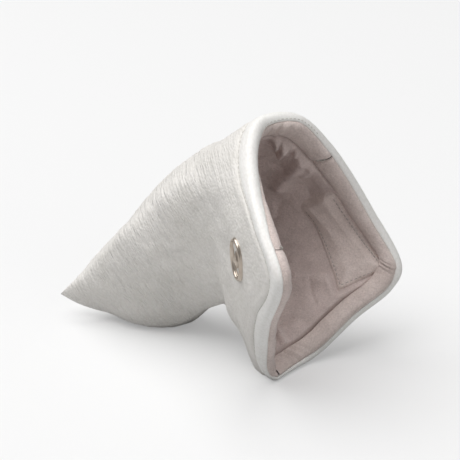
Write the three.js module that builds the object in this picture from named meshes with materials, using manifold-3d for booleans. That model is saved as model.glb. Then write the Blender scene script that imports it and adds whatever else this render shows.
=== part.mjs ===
// Cover for a blade putter head, standing open: a leather boot with padding and a plush lining.
// Millimetres, +Z up, origin at the middle of the footprint on the floor.
// The wall is one curved volume. A place in it is (t, s, d):
//   t  0 at the toe seam, 1 at the edge of the mouth
//   s  0 at the lower seam, 0.25 mid front, 0.5 at the fold along the sole, 0.75 mid back, 1 at the seam
//   d  depth below the outer face of the leather, in mm
import * as THREE from "three";
import Module from "manifold-3d";

const wasm = await Module();
wasm.setup();

// ---------------------------------------------------------------- driving dimensions, mm
const SHIFT = new THREE.Vector3(1, -15.75, 0); // from the layout below to the part's own origin
const GAP = 0.4; // clear space between pieces that lie side by side
const LAYER_GAP = 0.65; // clear space between the layers of the wall
const LEATHER = 1.2;
const FOAM_TOP = LEATHER + LAYER_GAP;
const FOAM_BOTTOM = 4.25;
const LINING_TOP = FOAM_BOTTOM + LAYER_GAP;
const LINING_BOTTOM = 6.5; // total wall
const FACING_BOTTOM = 7.6; // the plush facing is thicker than the lining
const EDGE_RADIUS = LINING_BOTTOM / 2; // rolled edge of the mouth
const BINDING_OUTSIDE = 8.5; // reach of the binding over the outside of the wall
const BINDING_INSIDE = 3.8; // and over the inside
const FACING_EDGE = 11.5; // far edge of the facing, from the crest of the mouth
const STITCH_INSET = 7.4; // row of topstitching, from the crest
const THREAD = 0.7;
const THREAD_GAP = 0.25;

// The front flap is the part of the front wall beyond a tent-shaped line.
const FLAP_START = 0.035; // values of s where that line reaches the mouth
const FLAP_END = 0.465;
const FLAP_MARGIN = 13.5; // least width of the flap, at its two ends
const FLAP_REACH = 0.22; // how much further down the wall it runs mid front, in t
const CUT = 0.0022; // half the cut between neighbouring lengths of edge piece, in s
const SWING = 0.012; // width of the cut between flap and pouch, in t, so the flap can swing

const STITCH_STOP = 0.965; // value of s where the topstitching ends, short of the floor
const FRONT_JOIN = 0.29; // values of s where the facing is pieced
const BACK_JOIN = 0.62;

// The wall is squeezed thinner at its seams.
const TOE_SQUEEZE = 0.35;
const TOE_LENGTH = 0.34;
const SEAM_SQUEEZE = 0.5;
const SEAM_WIDTH = 0.1;
const SEAM_BLEND = 0.04;
const TOE_BLEND = 0.2;
const TOE_PULL = 0.8;
const MITRE_LIMIT = 0.45;

const COLUMNS = 48;
const POUCH_ROWS = 10;
const FLAP_ROWS = 4;

// ---------------------------------------------------------------- layout of the outer face
// Each station runs from the seam over the front to the fold and back over the back wall.
const STATIONS = [
  [
    [-53, 67.5, 1], [-60.5, 68, 3], [-68.5, 68.5, 5], [-76.5, 69, 8], [-84.5, 70, 12.5],
    [-76.5, 69, 8], [-68.5, 68.5, 5], [-60.5, 68, 3], [-53, 67.5, 1],
  ],
  [
    [-37, 67, -1.5], [-45, 55, 3], [-60, 56, 17], [-68, 61, 27], [-72.5, 71, 25.5],
    [-65, 78, 30.5], [-55, 86, 20], [-44, 82, 4], [-37, 67, -1.5],
  ],
  [
    [-22, 64.5, -1.5], [-31.5, 52, 3], [-40, 40, 33.5], [-52.5, 48, 51], [-57, 63, 45.5],
    [-47, 76, 52], [-34, 86, 31], [-25, 80, 4], [-22, 64.5, -1.5],
  ],
  [
    [-3.5, 42, 20], [-7.5, 33, 22.5], [-22, 32, 51], [-34, 41, 71], [-37.5, 54, 71],
    [-26, 70, 77], [-10, 80, 50], [0, 62, 22], [-3.5, 42, 20],
  ],
  [
    [5, 26, 11.5], [0, 12, 29.5], [-6, 12, 65], [-12, 22, 89], [-15, 46, 94.5],
    [-4, 62, 95], [18, 74, 60], [11, 52, 22], [5, 26, 11.5],
  ],
  [
    [12.5, 10, -0.5], [7, -12, 34], [6, -22, 67], [-0.5, 2, 95.5], [2, 37, 109.5],
    [26, 57, 95], [48, 64, 54], [30, 43, 22], [12.5, 10, -0.5],
  ],
  [
    [22, -3, -0.5], [16, -5, 4], [14.5, -20, 24], [15, -36, 43], [19.5, -57, 73.5],
    [13, -36, 91], [9.5, -6, 104], [9.8, 15, 114], [15, 30, 120], [32, 40, 118],
    [48, 45, 102], [70, 47, 66], [83.5, 42, 39], [78, 38.5, 28], [60.5, 31.5, 15.5],
    [41, 20.5, 1.2], [22, -3, -0.5],
  ],
].map((station) => station.map((p) => new THREE.Vector3(...p)));

// ---------------------------------------------------------------- the curved wall
const smooth = (a, b, x) => THREE.MathUtils.smoothstep(x, a, b);
const gapsOf = (points) => points.slice(1).map((p, i) => Math.sqrt(Math.max(p.distanceTo(points[i]), 1e-6)));

// Centripetal Catmull-Rom curve through `points`, at u from 0 to 1.
function spline(points, gaps, u) {
  const last = points.length - 1;
  const i = Math.min(Math.floor(u * last), last - 1);
  const w = u * last - i;
  const at = (k) => {
    if (k < 0) return points[0].clone().multiplyScalar(2).sub(points[1]);
    if (k > last) return points[last].clone().multiplyScalar(2).sub(points[last - 1]);
    return points[k];
  };
  const [p0, p1, p2, p3] = [at(i - 1), at(i), at(i + 1), at(i + 2)];
  const g1 = gaps[i];
  const g0 = gaps[i - 1] ?? g1;
  const g2 = gaps[i + 1] ?? g1;
  const out = new THREE.Vector3();
  for (const axis of ["x", "y", "z"]) {
    const [a, b, c, e] = [p0[axis], p1[axis], p2[axis], p3[axis]];
    const m1 = ((b - a) / g0 - (c - a) / (g0 + g1) + (c - b) / g1) * g1;
    const m2 = ((c - b) / g1 - (e - b) / (g1 + g2) + (e - c) / g2) * g1;
    out[axis] = b + m1 * w + (-3 * b + 3 * c - 2 * m1 - m2) * w * w + (2 * b - 2 * c + m1 + m2) * w ** 3;
  }
  return out;
}

const STATION_GAPS = STATIONS.map(gapsOf);
const TOE_SEAM = STATIONS[0][4].clone().sub(STATIONS[0][0]).normalize();

function outerFace(t, s) {
  const rows = STATIONS.map((station, i) => spline(station, STATION_GAPS[i], s));
  return spline(rows, gapsOf(rows), t);
}

function outward(t, s) {
  const step = 1e-3;
  const clamp = (v) => THREE.MathUtils.clamp(v, 0, 1);
  const along = outerFace(clamp(t + step), s).sub(outerFace(clamp(t - step), s));
  const around = outerFace(t, clamp(s + step)).sub(outerFace(t, clamp(s - step)));
  return along.cross(around).normalize();
}

// At a seam the inward direction keeps both walls parallel to their outer faces.
function mitre(t, s) {
  const front = outward(t, s);
  const back = outward(t, 1 - s);
  const stretch = 1 / Math.max(1 + front.dot(back), MITRE_LIMIT);
  return front.add(back).multiplyScalar(-stretch);
}

// Direction into the wall, turning to the mitre near the lower seam and near the toe seam.
function inward(t, s) {
  const side = Math.min(s, 1 - s);
  let direction = outward(t, s).negate();
  if (side < SEAM_BLEND) direction = mitre(t, 0.002).lerp(direction, smooth(0, SEAM_BLEND, side));
  if (t < TOE_BLEND) {
    const toe = mitre(0, THREE.MathUtils.clamp(side, 0.01, 0.49));
    toe.addScaledVector(TOE_SEAM, TOE_PULL * (1 - 4 * side));
    direction = toe.lerp(direction, smooth(0, TOE_BLEND, t));
  }
  return direction;
}

function squeeze(t, s) {
  const toe = THREE.MathUtils.lerp(TOE_SQUEEZE, 1, smooth(0, TOE_LENGTH, t));
  return toe * THREE.MathUtils.lerp(SEAM_SQUEEZE, 1, smooth(0, SEAM_WIDTH, Math.min(s, 1 - s)));
}

// The place (t, s, d), with the outer face pressed flat where it rests on the floor.
const known = new Map();
function wall(t, s, d) {
  const key = `${t} ${s}`;
  if (!known.has(key)) {
    const outer = outerFace(t, s);
    outer.z = Math.max(outer.z, 0);
    known.set(key, [outer.add(SHIFT), inward(t, s).multiplyScalar(squeeze(t, s))]);
  }
  const [outer, step] = known.get(key);
  return outer.clone().addScaledVector(step, d);
}

// t at a given distance from the crest of the mouth.
function fromCrest(mm, s) {
  const step = 0.01;
  return 1 - (mm * step) / outerFace(1, s).distanceTo(outerFace(1 - step, s));
}

// ---------------------------------------------------------------- solids
// Collects triangles by position, so coincident corners are shared and collapsed faces drop out.
class Body {
  constructor() {
    this.points = [];
    this.index = new Map();
    this.faces = [];
  }
  corner(p) {
    const key = [p.x, p.y, p.z].map((v) => Math.round(v * 1e4)).join();
    if (!this.index.has(key)) {
      this.index.set(key, this.points.length);
      this.points.push(p);
    }
    return this.index.get(key);
  }
  triangle(a, b, c) {
    const [i, j, k] = [a, b, c].map((p) => this.corner(p));
    if (i !== j && j !== k && k !== i) this.faces.push(i, j, k);
  }
  quad(a, b, c, d) {
    this.triangle(a, b, c);
    this.triangle(a, c, d);
  }
  geometry() {
    const geometry = new THREE.BufferGeometry();
    const flat = this.points.flatMap((p) => [p.x, p.y, p.z]);
    geometry.setAttribute("position", new THREE.Float32BufferAttribute(flat, 3));
    geometry.setIndex(this.faces);
    geometry.computeVertexNormals();
    return geometry;
  }
}

const steps = (from, to, count) => Array.from({ length: count + 1 }, (_, i) => from + ((to - from) * i) / count);

// A sheet of wall between two depths. `rows(s)` lists the values of t down one column.
// A closed sheet is sewn to itself along the toe and the lower seam.
function sheet(columns, rows, top, bottom, closed) {
  const body = new Body();
  const grid = (d) => columns.map((s) => rows(s).map((t) => wall(t, s, d)));
  const outer = grid(top);
  const inner = grid(bottom);
  const end = outer[0].length - 1;
  for (let j = 0; j + 1 < columns.length; j += 1) {
    for (let k = 0; k < end; k += 1) {
      body.quad(outer[j][k], outer[j][k + 1], outer[j + 1][k + 1], outer[j + 1][k]);
      body.quad(inner[j][k], inner[j + 1][k], inner[j + 1][k + 1], inner[j][k + 1]);
    }
    body.quad(outer[j][end], inner[j][end], inner[j + 1][end], outer[j + 1][end]);
    if (!closed) body.quad(outer[j][0], outer[j + 1][0], inner[j + 1][0], inner[j][0]);
  }
  if (!closed) {
    const last = columns.length - 1;
    for (let k = 0; k < end; k += 1) {
      body.quad(outer[0][k], inner[0][k], inner[0][k + 1], outer[0][k + 1]);
      body.quad(outer[last][k], outer[last][k + 1], inner[last][k + 1], inner[last][k]);
    }
  }
  return body.geometry();
}

// A closed profile of [distance from crest, depth] swept along the mouth through the values of s.
function sweep(columns, outline) {
  const body = new Body();
  const turned = THREE.ShapeUtils.isClockWise(outline.map(([mm, d]) => new THREE.Vector2(mm, d)));
  const profile = turned ? outline : [...outline].reverse();
  const rings = columns.map((s) => profile.map(([mm, d]) => wall(fromCrest(mm, s), s, d)));
  const count = profile.length;
  for (let j = 0; j + 1 < rings.length; j += 1) {
    for (let k = 0; k < count; k += 1) {
      const n = (k + 1) % count;
      body.quad(rings[j][k], rings[j][n], rings[j + 1][n], rings[j + 1][k]);
    }
  }
  const first = rings[0];
  const end = rings[rings.length - 1];
  const flat = profile.map(([mm, d]) => new THREE.Vector2(mm, d));
  for (const face of THREE.ShapeUtils.triangulateShape(flat, [])) {
    const clockwise = THREE.ShapeUtils.isClockWise(face.map((k) => flat[k]));
    const [a, b, c] = clockwise ? face : [...face].reverse();
    body.triangle(first[c], first[b], first[a]);
    body.triangle(end[a], end[b], end[c]);
  }
  return body.geometry();
}

// A patch of wall around (t, s), with `long` pointing along its length and `wide` across it.
function patchAt(t, s, direction) {
  const normal = outward(t, s);
  const long = direction.clone().addScaledVector(normal, -direction.dot(normal)).normalize();
  return { t, s, middle: outerFace(t, s), long, wide: normal.clone().cross(long) };
}

// The (t, s) whose outer face lies u along and v across from the middle of the patch.
function onPatch(patch, u, v) {
  const step = 1e-3;
  const flat = (t, s) => {
    const from = outerFace(t, s).sub(patch.middle);
    return [from.dot(patch.long), from.dot(patch.wide)];
  };
  let [t, s] = [patch.t, patch.s];
  for (let i = 0; i < 6; i += 1) {
    const [x, y] = flat(t, s);
    const [xt, yt] = flat(t + step, s).map((value, k) => (value - [x, y][k]) / step);
    const [xs, ys] = flat(t, s + step).map((value, k) => (value - [x, y][k]) / step);
    const scale = xt * ys - xs * yt;
    t += ((u - x) * ys - (v - y) * xs) / scale;
    s += ((v - y) * xt - (u - x) * yt) / scale;
  }
  return [t, s];
}

// Bends a geometry modelled in (u, v, -depth) into the wall.
function bend(geometry, patch) {
  const place = geometry.getAttribute("position");
  for (let i = 0; i < place.count; i += 1) {
    const [t, s] = onPatch(patch, place.getX(i), place.getY(i));
    const p = wall(t, s, -place.getZ(i));
    place.setXYZ(i, p.x, p.y, p.z);
  }
  return geometry;
}

function toManifold(geometry) {
  const body = new Body();
  const place = geometry.getAttribute("position");
  const index = geometry.index ? [...geometry.index.array] : [...Array(place.count).keys()];
  const at = (i) => new THREE.Vector3().fromBufferAttribute(place, index[i]);
  for (let i = 0; i < index.length; i += 3) body.triangle(at(i), at(i + 1), at(i + 2));
  const vertProperties = new Float32Array(body.points.flatMap((p) => [p.x, p.y, p.z]));
  const triVerts = new Uint32Array(body.faces);
  return new wasm.Manifold(new wasm.Mesh({ numProp: 3, vertProperties, triVerts }));
}

function fromManifold(manifold) {
  const mesh = manifold.getMesh();
  const body = new Body();
  const at = (i) => new THREE.Vector3(...mesh.vertProperties.slice(i * mesh.numProp, i * mesh.numProp + 3));
  for (let i = 0; i < mesh.triVerts.length; i += 3) {
    body.triangle(at(mesh.triVerts[i]), at(mesh.triVerts[i + 1]), at(mesh.triVerts[i + 2]));
  }
  return body.geometry();
}

const subtract = (a, tools) => fromManifold(tools.reduce((m, g) => m.subtract(toManifold(g)), toManifold(a)));
const join = (pieces) => fromManifold(pieces.slice(1).reduce((m, g) => m.add(toManifold(g)), toManifold(pieces[0])));

// A block, a post and a flat plate in patch coordinates, between two depths.
function block(length, width, top, bottom) {
  return new THREE.BoxGeometry(length, width, bottom - top, 6, 3, 1).translate(0, 0, -(top + bottom) / 2);
}

function post(radius, top, bottom, u, v) {
  const geometry = new THREE.CylinderGeometry(radius, radius, bottom - top, 16).rotateX(Math.PI / 2);
  return geometry.translate(u, v, -(top + bottom) / 2);
}

function plate(shape, top, bottom) {
  const options = { depth: bottom - top, bevelEnabled: false, curveSegments: 20 };
  return new THREE.ExtrudeGeometry(shape, options).translate(0, 0, -bottom);
}

// ---------------------------------------------------------------- badge and closure, mm
const BADGE = { t: 0.795, s: 0.25, long: 21, wide: 15, band: 2, diamondLong: 8, diamondWide: 5.5 };
const BADGE_LIFT = 0.3;
const BADGE_THICK = 1.5;
const POST = { radius: 0.6, hole: 0.9, end: 2.7 };
const BACKING = { long: 23, wide: 9, top: 1.6, bottom: 2 };
const NUT = { radius: 1.4, bore: 0.8, top: 2.2, bottom: 2.7, pocket: 1.8 };
const MAGNET = { long: 34, wide: 10, top: 7.6, bottom: 9.4 };
const POCKET = { long: 46, wide: 18, top: 7.5, bottom: 10.7, spare: 0.6, sewn: 1.6 };

// ---------------------------------------------------------------- materials and assembly
const material = (name, color, roughness, metalness = 0) =>
  new THREE.MeshStandardMaterial({ name, color, roughness, metalness });
const LEATHER_LOOK = material("white_leather", 0xe6e5e0, 0.55);
const BINDING_LOOK = material("white_binding_leather", 0xecebe6, 0.5);
const FOAM_LOOK = material("foam", 0xd9d4c4, 0.9);
const PLUSH_LOOK = material("greige_plush", 0xb0a49f, 0.95);
const METAL_LOOK = material("champagne_metal", 0xa8957f, 0.3, 1);
const MAGNET_LOOK = material("magnet", 0x55575b, 0.4, 1);
const THREAD_LOOK = material("thread", 0xdedad2, 0.8);

const group = new THREE.Group();
const add = (name, geometry, look) => {
  const mesh = new THREE.Mesh(geometry, look);
  mesh.name = name;
  group.add(mesh);
};

// t along the line where the flap begins.
const flapLine = (s) => {
  const half = (FLAP_END - FLAP_START) / 2;
  const middle = (FLAP_END + FLAP_START) / 2;
  return fromCrest(FLAP_MARGIN, s) - FLAP_REACH * (1 - Math.abs(s - middle) / half);
};
// Distances from the crest where a layer ends. Every layer has its corners on the same lines,
// so that neighbouring layers have parallel faces.
const EDGES = [FACING_EDGE + LAYER_GAP, BINDING_OUTSIDE + GAP, EDGE_RADIUS + GAP];
const NEAR_SEAM = steps(0, 0.0625, 6).slice(1); // closer columns where the wall turns at the seam
const MARKS = [...NEAR_SEAM, FLAP_START, FLAP_START + CUT, FLAP_END - CUT, FLAP_END];
const ALL_COLUMNS = [...steps(0, 1, COLUMNS), ...MARKS, ...MARKS.map((s) => 1 - s)].sort((a, b) => a - b);
const run = (from, to) => [from, ...ALL_COLUMNS.filter((s) => s > from + 1e-6 && s < to - 1e-6), to];

// A layer of the wall that ends at one of the EDGES, as its pouch part and its flap part.
const layer = (edge, top, bottom) => {
  const kept = EDGES.slice(0, EDGES.indexOf(edge) + 1);
  const pouchRows = (s) => {
    const inFlap = s > FLAP_START + 1e-6 && s < FLAP_END - 1e-6;
    const limit = inFlap ? flapLine(s) - SWING : 1;
    const ends = kept.map((mm) => Math.min(fromCrest(mm, s), limit));
    return [...steps(0, ends[0], POUCH_ROWS), ...ends.slice(1)];
  };
  const flapRows = (s) => {
    const ends = kept.map((mm) => fromCrest(mm, s));
    return [...steps(flapLine(s), ends[0], FLAP_ROWS), ...ends.slice(1)];
  };
  return {
    pouch: sheet(ALL_COLUMNS, pouchRows, top, bottom, true),
    flap: sheet(run(FLAP_START + 2 * CUT, FLAP_END - 2 * CUT), flapRows, top, bottom, false),
  };
};

const leather = layer(EDGES[1], 0, LEATHER);
const foam = layer(EDGES[2], FOAM_TOP, FOAM_BOTTOM);
const lining = layer(EDGES[0], LINING_TOP, LINING_BOTTOM);

// Badge on the flap: an oval ring and a plain diamond, each on posts through the leather.
const badgePatch = patchAt(BADGE.t, BADGE.s, new THREE.Vector3(0, 0, 1));
const onBadge = (geometry) => bend(geometry, badgePatch);
const ringShape = new THREE.Shape().absellipse(0, 0, BADGE.long / 2, BADGE.wide / 2, 0, 2 * Math.PI);
const ringHole = new THREE.Path().absellipse(
  0, 0, BADGE.long / 2 - BADGE.band, BADGE.wide / 2 - BADGE.band, 0, 2 * Math.PI,
);
ringShape.holes.push(ringHole);
const diamondShape = new THREE.Shape([
  new THREE.Vector2(BADGE.diamondLong / 2, 0),
  new THREE.Vector2(0, BADGE.diamondWide / 2),
  new THREE.Vector2(-BADGE.diamondLong / 2, 0),
  new THREE.Vector2(0, -BADGE.diamondWide / 2),
]);
const ringPosts = [-1, 1].map((side) => side * (BADGE.long / 2 - BADGE.band / 2));
const allPosts = [ringPosts[0], 0, ringPosts[1]];
const holes = (radius, top, bottom) => allPosts.map((u) => onBadge(post(radius, top, bottom, u, 0)));
const badgePost = (u) => onBadge(post(POST.radius, -BADGE_LIFT - BADGE_THICK / 2, POST.end, u, 0));
const badgePlate = (shape) => onBadge(plate(shape, -BADGE_LIFT - BADGE_THICK, -BADGE_LIFT));

add("outer_leather_pouch", leather.pouch, LEATHER_LOOK);
add("foam_padding_pouch", foam.pouch, FOAM_LOOK);
add("lining_pouch", lining.pouch, PLUSH_LOOK);
add("outer_leather_flap", subtract(leather.flap, holes(POST.hole, -1, BACKING.top)), LEATHER_LOOK);
const backingRoom = onBadge(block(BACKING.long + 1, BACKING.wide + 1, FOAM_TOP - 1, BACKING.bottom + GAP));
const nutRooms = holes(NUT.pocket, FOAM_TOP - 1, POST.end + 2 * GAP);
add("foam_padding_flap", subtract(foam.flap, [backingRoom, ...nutRooms]), FOAM_LOOK);
add("lining_flap", lining.flap, PLUSH_LOOK);

// Binding around the mouth: a rolled strip over the edge of the wall.
const arc = (radius, from, to, count) =>
  steps(from, to, count).map((angle) => [
    EDGE_RADIUS - radius * Math.sin(angle),
    EDGE_RADIUS - radius * Math.cos(angle),
  ]);
const bindingProfile = [
  [BINDING_OUTSIDE, 0],
  ...arc(EDGE_RADIUS, 0, Math.PI, 6),
  [BINDING_INSIDE, LINING_BOTTOM],
  [BINDING_INSIDE, LINING_TOP],
  ...arc(EDGE_RADIUS - LEATHER, Math.PI, 0, 4),
  [BINDING_OUTSIDE, LEATHER],
];
const facingProfile = [
  [FACING_EDGE, LINING_TOP],
  [BINDING_INSIDE + GAP, LINING_TOP],
  [BINDING_INSIDE + GAP, FACING_BOTTOM],
  [FACING_EDGE, FACING_BOTTOM],
];
const stitchProfile = [
  [STITCH_INSET + THREAD, -THREAD_GAP],
  [STITCH_INSET + THREAD, -THREAD_GAP - THREAD],
  [STITCH_INSET, -THREAD_GAP - THREAD],
  [STITCH_INSET, -THREAD_GAP],
];
const flapRun = run(FLAP_START + 2 * CUT, FLAP_END - 2 * CUT);
const corner = run(0, FLAP_START - CUT).slice(1);
const pouchRun = [...run(FLAP_END + CUT, 1), ...corner];
add("rim_binding_pouch", sweep(pouchRun, bindingProfile), BINDING_LOOK);
add("rim_binding_flap", sweep(flapRun, bindingProfile), BINDING_LOOK);
add("topstitch_thread_pouch", sweep(run(FLAP_END + CUT, STITCH_STOP), stitchProfile), THREAD_LOOK);
add("topstitch_thread_flap", sweep(flapRun, stitchProfile), THREAD_LOOK);

// Plush facing inside the mouth, pieced with two butt joins.
const lowerRun = [...run(BACK_JOIN + CUT, 1), ...corner];
add("facing_top", sweep(run(FLAP_END + CUT, BACK_JOIN - CUT), facingProfile), PLUSH_LOOK);
add("facing_back", sweep(lowerRun, facingProfile), PLUSH_LOOK);
add("facing_flap_upper", sweep(run(FRONT_JOIN + CUT, FLAP_END - 2 * CUT), facingProfile), PLUSH_LOOK);
add("facing_flap_lower", sweep(run(FLAP_START + 2 * CUT, FRONT_JOIN - CUT), facingProfile), PLUSH_LOOK);

add("badge_ring", join([badgePlate(ringShape), ...ringPosts.map(badgePost)]), METAL_LOOK);
add("badge_diamond", join([badgePlate(diamondShape), badgePost(0)]), METAL_LOOK);
const backing = onBadge(block(BACKING.long, BACKING.wide, BACKING.top, BACKING.bottom));
add("badge_backing_plate", subtract(backing, holes(POST.hole, 0, POST.end)), METAL_LOOK);
for (const [name, u] of [["bottom", ringPosts[0]], ["middle", 0], ["top", ringPosts[1]]]) {
  const nut = onBadge(post(NUT.radius, NUT.top, NUT.bottom, u, 0));
  const bore = onBadge(post(NUT.bore, 0, POST.end, u, 0));
  add(`badge_push_nut_${name}`, subtract(nut, [bore]), METAL_LOOK);
}

// Thread ends tied off over the butt joins of the facing.
const tieProfile = [
  [FACING_EDGE - 1, FACING_BOTTOM + GAP],
  [BINDING_INSIDE + 1, FACING_BOTTOM + GAP],
  [BINDING_INSIDE + 1, FACING_BOTTOM + GAP + THREAD],
  [FACING_EDGE - 1, FACING_BOTTOM + GAP + THREAD],
];
add("join_thread_flap", sweep([FRONT_JOIN - CUT, FRONT_JOIN + CUT], tieProfile), THREAD_LOOK);
add("join_thread_back", sweep([BACK_JOIN - CUT, BACK_JOIN + CUT], tieProfile), THREAD_LOOK);

// Closure: a flat magnet under a sewn plush pocket, one inside the back wall and one inside the flap.
const POCKETS = [
  ["back", 0.872, 0.751, new THREE.Vector3(12.5, -12, -24.5)],
  ["flap", 0.792, 0.255, new THREE.Vector3(0, -12, -30)],
];
const rectangle = (Kind, long, wide) =>
  new Kind([[-1, -1], [1, -1], [1, 1], [-1, 1]].map(([u, v]) => new THREE.Vector2((u * long) / 2, (v * wide) / 2)));
for (const [name, t, s, direction] of POCKETS) {
  const patch = patchAt(t, s, direction);
  const outside = bend(block(POCKET.long, POCKET.wide, POCKET.top, POCKET.bottom), patch);
  const spare = 2 * POCKET.spare;
  const room = block(MAGNET.long + spare, MAGNET.wide + spare, POCKET.top - 1, MAGNET.bottom + POCKET.spare);
  add(`magnet_pocket_${name}`, subtract(outside, [bend(room, patch)]), PLUSH_LOOK);
  add(`magnet_${name}`, bend(block(MAGNET.long, MAGNET.wide, MAGNET.top, MAGNET.bottom), patch), MAGNET_LOOK);
  const seam = rectangle(THREE.Shape, POCKET.long - POCKET.sewn, POCKET.wide - POCKET.sewn);
  const inset = POCKET.sewn + 2 * THREAD;
  seam.holes.push(rectangle(THREE.Path, POCKET.long - inset, POCKET.wide - inset));
  const stitch = plate(seam, POCKET.bottom + GAP, POCKET.bottom + GAP + THREAD);
  add(`pocket_thread_${name}`, bend(stitch, patch), THREAD_LOOK);
}

export default group;
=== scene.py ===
import math

import bpy
import numpy as np
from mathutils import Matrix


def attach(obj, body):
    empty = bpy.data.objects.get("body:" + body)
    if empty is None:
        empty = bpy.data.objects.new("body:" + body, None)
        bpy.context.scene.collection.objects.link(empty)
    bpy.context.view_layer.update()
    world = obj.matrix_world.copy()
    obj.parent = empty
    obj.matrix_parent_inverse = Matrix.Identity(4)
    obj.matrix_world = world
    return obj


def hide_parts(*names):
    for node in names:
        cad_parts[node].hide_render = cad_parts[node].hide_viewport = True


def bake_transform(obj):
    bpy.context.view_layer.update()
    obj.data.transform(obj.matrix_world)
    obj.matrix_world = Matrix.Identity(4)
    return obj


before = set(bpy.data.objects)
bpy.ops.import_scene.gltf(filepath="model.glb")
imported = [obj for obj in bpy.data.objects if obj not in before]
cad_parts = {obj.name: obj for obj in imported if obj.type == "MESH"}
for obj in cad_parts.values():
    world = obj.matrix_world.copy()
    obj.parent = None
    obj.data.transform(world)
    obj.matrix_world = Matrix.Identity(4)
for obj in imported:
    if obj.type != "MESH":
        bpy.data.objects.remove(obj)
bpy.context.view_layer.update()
MM = 0.001
SHIFT = np.array([1.0, -15.75, 0.0])  # from the layout of the stations to the part's own origin

# ---------------------------------------------------------------- camera
ELEVATION = math.radians(22)
DISTANCE = 900.0
LOOK_AT = np.array([0.0, 30.0, 63.0]) + SHIFT
camera = bpy.data.objects.new("camera", bpy.data.cameras.new("camera"))
bpy.context.scene.collection.objects.link(camera)
camera.data.sensor_width = 36.0
camera.data.lens = 149.9
camera.data.clip_end = 50
back = np.array([0.0, -math.cos(ELEVATION), math.sin(ELEVATION)])
camera.location = (LOOK_AT + back * DISTANCE) * MM
camera.rotation_euler = (math.pi / 2 - ELEVATION, 0, 0)
bpy.context.scene.camera = camera
bpy.context.scene.view_settings.view_transform = "Standard"

# ---------------------------------------------------------------- layout of the outer face
STATIONS = [
    [[-53, 67.5, 1], [-60.5, 68, 3], [-68.5, 68.5, 5], [-76.5, 69, 8], [-84.5, 70, 12.5],
     [-76.5, 69, 8], [-68.5, 68.5, 5], [-60.5, 68, 3], [-53, 67.5, 1]],
    [[-37, 67, -1.5], [-45, 55, 3], [-60, 56, 17], [-68, 61, 27], [-72.5, 71, 25.5],
     [-65, 78, 30.5], [-55, 86, 20], [-44, 82, 4], [-37, 67, -1.5]],
    [[-22, 64.5, -1.5], [-31.5, 52, 3], [-40, 40, 33.5], [-52.5, 48, 51], [-57, 63, 45.5],
     [-47, 76, 52], [-34, 86, 31], [-25, 80, 4], [-22, 64.5, -1.5]],
    [[-3.5, 42, 20], [-7.5, 33, 22.5], [-22, 32, 51], [-34, 41, 71], [-37.5, 54, 71],
     [-26, 70, 77], [-10, 80, 50], [0, 62, 22], [-3.5, 42, 20]],
    [[5, 26, 11.5], [0, 12, 29.5], [-6, 12, 65], [-12, 22, 89], [-15, 46, 94.5],
     [-4, 62, 95], [18, 74, 60], [11, 52, 22], [5, 26, 11.5]],
    [[12.5, 10, -0.5], [7, -12, 34], [6, -22, 67], [-0.5, 2, 95.5], [2, 37, 109.5],
     [26, 57, 95], [48, 64, 54], [30, 43, 22], [12.5, 10, -0.5]],
    [[22, -3, -0.5], [16, -5, 4], [14.5, -20, 24], [15, -36, 43], [19.5, -57, 73.5],
     [13, -36, 91], [9.5, -6, 104], [9.8, 15, 114], [15, 30, 120], [32, 40, 118],
     [48, 45, 102], [70, 47, 66], [83.5, 42, 39], [78, 38.5, 28], [60.5, 31.5, 15.5],
     [41, 20.5, 1.2], [22, -3, -0.5]],
]
STATIONS = [np.array(station, float) for station in STATIONS]

LEATHER = 1.2
LEATHER_END, FOAM_END = 6.0, 4.5  # from the crest, under the rolled edge
FOAM_TOP, FOAM_BOTTOM = 1.5, 4.5
LINING_TOP, LINING_BOTTOM = 4.9, 6.5
EDGE_RADIUS = LINING_BOTTOM / 2
STITCH_INSET = 7.8  # row of topstitching, from the crest
FACING_FRONT, FACING_BACK = 11.0, 10.8  # far edge of the plush facing, from the crest
# How far the leather goes round the edge, measured along the arc, at places s along the mouth.
WRAP = [
    (0, 6.5), (0.06, 4.9), (0.3, 5.5), (0.44, 9.8), (0.5, 7.9), (0.56, 7.4), (0.62, 7.8),
    (0.74, 8.2), (0.765, 9.4), (0.8, 8.5), (0.85, 8.4), (0.96, 8.4), (1, 6.5),
]

TOE_SQUEEZE, TOE_LENGTH, TOE_BLEND, TOE_PULL = 0.35, 0.34, 0.2, 0.8
SEAM_SQUEEZE, SEAM_WIDTH, SEAM_BLEND = 0.5, 0.1, 0.04
MITRE_LIMIT = 0.45


def smooth(a, b, x):
    """0 at a and 1 at b, with a soft start and end."""
    w = np.clip((x - a) / (b - a), 0, 1)
    return w * w * (3 - 2 * w)


def mix(a, b, w):
    return a + (b - a) * w


def gaps_of(points):
    """Centripetal spacing of the knots of a curve."""
    return np.sqrt(np.maximum(np.linalg.norm(np.diff(points, axis=0), axis=-1), 1e-6))


def spline(points, u):
    """Centripetal Catmull-Rom curve at each u from 0 to 1: one curve for all, or one for each u."""
    gaps = gaps_of(points)
    gaps = np.concatenate([gaps[:1], gaps, gaps[-1:]])
    ends = (2 * points[:1] - points[1:2], 2 * points[-1:] - points[-2:-1])
    knots = np.concatenate([ends[0], points, ends[1]])
    last = len(points) - 1
    i = np.clip(np.floor(u * last).astype(int), 0, last - 1)
    w = (u * last - i)[:, None]
    columns = np.arange(len(u))
    take = (lambda a, k: a[k]) if points.ndim == 2 else (lambda a, k: a[k, columns])
    a, b, c, e = (take(knots, i + k) for k in range(4))
    g0, g1, g2 = (take(gaps, i + k)[:, None] for k in range(3))
    m1 = ((b - a) / g0 - (c - a) / (g0 + g1) + (c - b) / g1) * g1
    m2 = ((c - b) / g1 - (e - b) / (g1 + g2) + (e - c) / g2) * g1
    return b + m1 * w + (3 * (c - b) - 2 * m1 - m2) * w**2 + (2 * (b - c) + m1 + m2) * w**3


def outer_face(t, s):
    return spline(np.stack([spline(station, s) for station in STATIONS]), t)


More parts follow.
